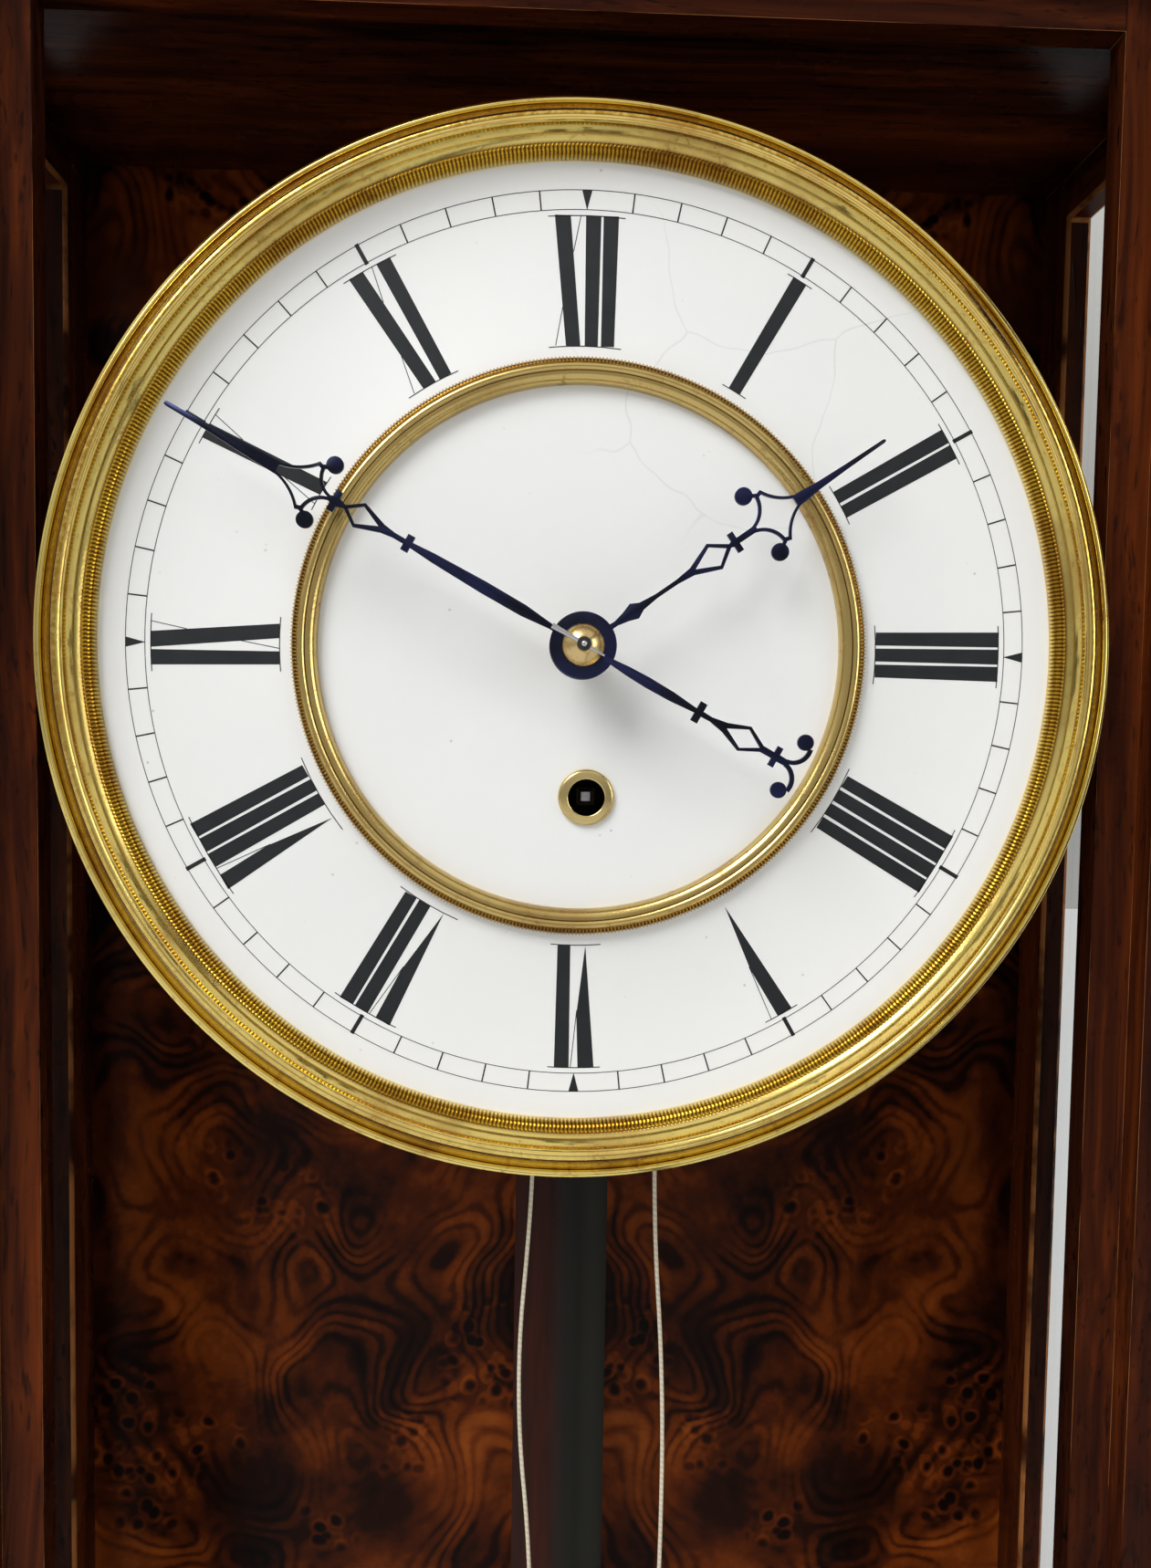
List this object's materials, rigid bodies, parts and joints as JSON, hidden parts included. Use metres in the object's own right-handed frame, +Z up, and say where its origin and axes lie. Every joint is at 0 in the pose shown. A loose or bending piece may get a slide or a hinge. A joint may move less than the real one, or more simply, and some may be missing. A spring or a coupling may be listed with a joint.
{
  "type": "vienna regulator clock",
  "caption": "Weight-driven wall regulator in a glazed wooden case with a gable top, an enamel dial with Roman numerals, blued hands, a hinged door and a long pendulum.",
  "frame": {"origin": "centre of the hanging hole at the back plane of the case, which lies on the wall", "axes": "+Y out of the back of the case into the wall, along the hanging hole; the dial faces -Y; +Z up; +X to the right seen from the front"},
  "size_m": [0.34, 0.365, 1.033],
  "materials": {
    "case_wood": "french polished walnut",
    "panel_wood": "french polished burr walnut veneer",
    "case_glass": "clear old glass",
    "enamel": "fired white enamel on copper, glossy",
    "gilt_brass": "polished and lacquered",
    "brass": "brushed and lacquered",
    "silvered_brass": "silvered",
    "blued_steel": "heat blued",
    "steel": "polished",
    "gut": "twisted natural gut"
  },
  "bodies": {
    "root": {"backboard": "panel_wood", "hanger_plate": "steel", "side_frame_left": "case_wood", "side_frame_right": "case_wood", "side_glasses": "case_glass", "front_frame": "case_wood", "top_board": "case_wood", "floor_board": "case_wood", "cornice": "case_wood", "base_plinth": "case_wood", "pediment": "case_wood", "roof_boards": "case_wood", "hinge_posts": "brass", "dial_plate": "brass", "chapter_ring": "enamel", "centre_disc": "enamel", "centre_ring": "gilt_brass", "bezel": "gilt_brass", "winding_eyelet": "gilt_brass", "front_plate": "brass", "back_plate": "brass", "plate_pillars": "brass", "back_cock": "brass", "movement_bracket": "steel", "suspension_bracket": "brass", "suspension_spring": "steel", "beat_scale": "silvered_brass", "gut_line_right": "gut", "gut_line_left": "gut"},
    "door": {"door_frame": "case_wood", "door_glass": "case_glass", "door_fittings": "brass"},
    "hook": {"door_hook": "brass"},
    "minute": {"minute_hand": "blued_steel", "hand_collet": "gilt_brass", "taper_pin": "steel", "cannon_pinion": "brass", "centre_wheel": "brass", "centre_arbor": "steel"},
    "hour": {"hour_hand": "blued_steel", "hour_wheel": "brass"},
    "motion": {"minute_wheel": "brass"},
    "middle": {"middle_wheel": "brass"},
    "great": {"great_wheel": "brass"},
    "drum": {"barrel": "brass", "ratchet_wheel": "steel"},
    "pawl": {"click": "steel"},
    "third": {"third_wheel": "brass"},
    "escape": {"escape_wheel": "brass"},
    "anchor": {"pallets": "steel", "crutch": "brass"},
    "pendulum": {"pendulum_hook": "brass", "pendulum_rod": "case_wood", "pendulum_bob": "brass", "rod_end": "steel"},
    "nut": {"rating_nut": "brass"},
    "weight": {"weight_shell": "brass", "pulley_stirrup": "brass", "gut_line_turn": "gut"},
    "sheave": {"pulley": "brass"}
  },
  "joints": [
    {"name": "centre_spin", "type": "hinge", "parent": "root", "child": "minute", "pos_m": [0, -0.06, -0.15], "axis": [0, 1, 0], "continuous": true},
    {"name": "hour_spin", "type": "hinge", "parent": "root", "child": "hour", "pos_m": [0, -0.095, -0.15], "axis": [0, 1, 0], "continuous": true},
    {"name": "motion_spin", "type": "hinge", "parent": "root", "child": "motion", "pos_m": [-0.0096, -0.091, -0.15], "axis": [0, 1, 0], "continuous": true},
    {"name": "middle_spin", "type": "hinge", "parent": "root", "child": "middle", "pos_m": [0.01975, -0.057, -0.15651], "axis": [0, 1, 0], "continuous": true},
    {"name": "great_spin", "type": "hinge", "parent": "root", "child": "great", "pos_m": [0.0015, -0.061, -0.177], "axis": [0, 1, 0], "continuous": true},
    {"name": "third_spin", "type": "hinge", "parent": "root", "child": "third", "pos_m": [-0.012, -0.07, -0.13425], "axis": [0, 1, 0], "continuous": true},
    {"name": "escape_spin", "type": "hinge", "parent": "root", "child": "escape", "pos_m": [0, -0.057, -0.12785], "axis": [0, 1, 0], "continuous": true},
    {"name": "drum_spin", "type": "hinge", "parent": "great", "child": "drum", "pos_m": [0.0015, -0.073, -0.177], "axis": [0, 1, 0], "continuous": true},
    {"name": "click_lift", "type": "hinge", "parent": "great", "child": "pawl", "pos_m": [-0.01326, -0.063, -0.16848], "axis": [0, 1, 0], "range_deg": [0, 8], "stiffness_Nm_per_rad": 0.02, "springref_deg": -5.73},
    {"name": "pendulum_swing", "type": "hinge", "parent": "root", "child": "pendulum", "pos_m": [0, -0.038, -0.11085], "axis": [0, 1, 0], "range_deg": [-2, 2]},
    {"name": "anchor_rock", "type": "hinge", "parent": "root", "child": "anchor", "pos_m": [0, -0.05, -0.11085], "axis": [0, 1, 0], "range_deg": [-2.2, 2.2]},
    {"name": "rating_turn", "type": "hinge", "parent": "pendulum", "child": "nut", "pos_m": [0, -0.038, -0.816], "axis": [0, 0, 1], "continuous": true},
    {"name": "weight_travel", "type": "slide", "parent": "root", "child": "weight", "axis": [0, 0, 1], "range_m": [0, 0.48], "deforming": ["gut_line_right", "gut_line_left"]},
    {"name": "pulley_spin", "type": "hinge", "parent": "weight", "child": "sheave", "pos_m": [0.006, -0.072, -0.7762], "axis": [0, 1, 0], "continuous": true},
    {"name": "door_swing", "type": "hinge", "parent": "root", "child": "door", "pos_m": [0.1335, -0.0965, -0.4665], "axis": [0, 0, 1], "range_deg": [-90, 25]},
    {"name": "hook_turn", "type": "hinge", "parent": "root", "child": "hook", "pos_m": [-0.13, -0.088, -0.4665], "axis": [1, 0, 0], "range_deg": [0, 270]}
  ],
  "couplings": [
    {"joint": "hour_spin", "follows": "centre_spin", "ratio": 0.083333},
    {"joint": "motion_spin", "follows": "centre_spin", "ratio": -0.33333},
    {"joint": "middle_spin", "follows": "centre_spin", "ratio": -0.25},
    {"joint": "great_spin", "follows": "centre_spin", "ratio": 0.041667},
    {"joint": "third_spin", "follows": "centre_spin", "ratio": -10},
    {"joint": "escape_spin", "follows": "centre_spin", "ratio": 75},
    {"joint": "anchor_rock", "follows": "pendulum_swing", "ratio": 1},
    {"joint": "drum_spin", "follows": "weight_travel", "rad_per_m": -111.42},
    {"joint": "pulley_spin", "follows": "weight_travel", "rad_per_m": -76.923}
  ]
}
